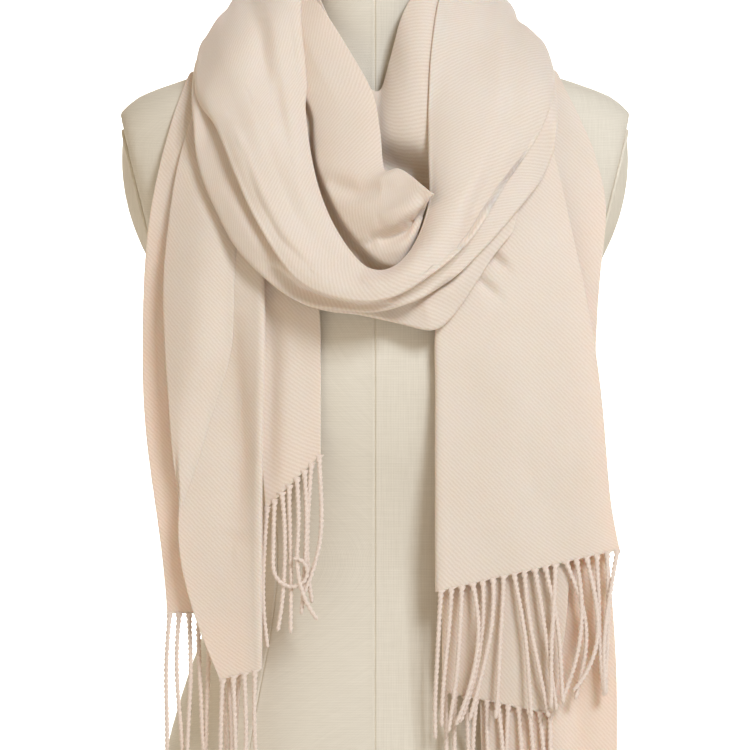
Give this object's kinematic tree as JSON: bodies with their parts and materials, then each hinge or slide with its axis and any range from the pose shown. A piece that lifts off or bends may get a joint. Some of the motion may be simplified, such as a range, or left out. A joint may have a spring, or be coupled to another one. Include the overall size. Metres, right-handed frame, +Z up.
{
  "type": "winter scarf on a dress form",
  "caption": "Wide winter scarf of brushed twill with fringed ends, wound round the neck of a limbless dress form and hanging down its front.",
  "frame": {"origin": "on the underside of the form's base, below the middle of the neck", "axes": "+Z up; -Y is the front of the form; +X is to the viewer's right"},
  "size_m": [0.409, 0.2969, 0.7953],
  "materials": {
    "brushed_twill": "soft, brushed",
    "linen": "plain weave",
    "beech": "satin"
  },
  "bodies": {
    "root": {"form_torso": "linen", "form_base": "beech", "form_neck_cap": "beech", "form_arm_plate_left": "linen", "form_arm_plate_right": "linen", "wrap_outer": "brushed_twill", "wrap_under": "brushed_twill", "wrap_lowest": "brushed_twill", "wrap_flap": "brushed_twill", "wrap_inner": "brushed_twill", "right_tail_back": "brushed_twill", "right_tail_middle": "brushed_twill", "right_tail_front": "brushed_twill", "left_tail_back": "brushed_twill", "left_tail_inner": "brushed_twill", "left_tail_front": "brushed_twill", "left_tail_flap": "brushed_twill", "fringe_right_tail_back": "brushed_twill", "fringe_right_tail_middle": "brushed_twill", "fringe_right_tail_front": "brushed_twill", "fringe_left_tail_back": "brushed_twill", "fringe_left_tail_inner": "brushed_twill", "fringe_left_tail_front": "brushed_twill"}
  },
  "joints": []
}
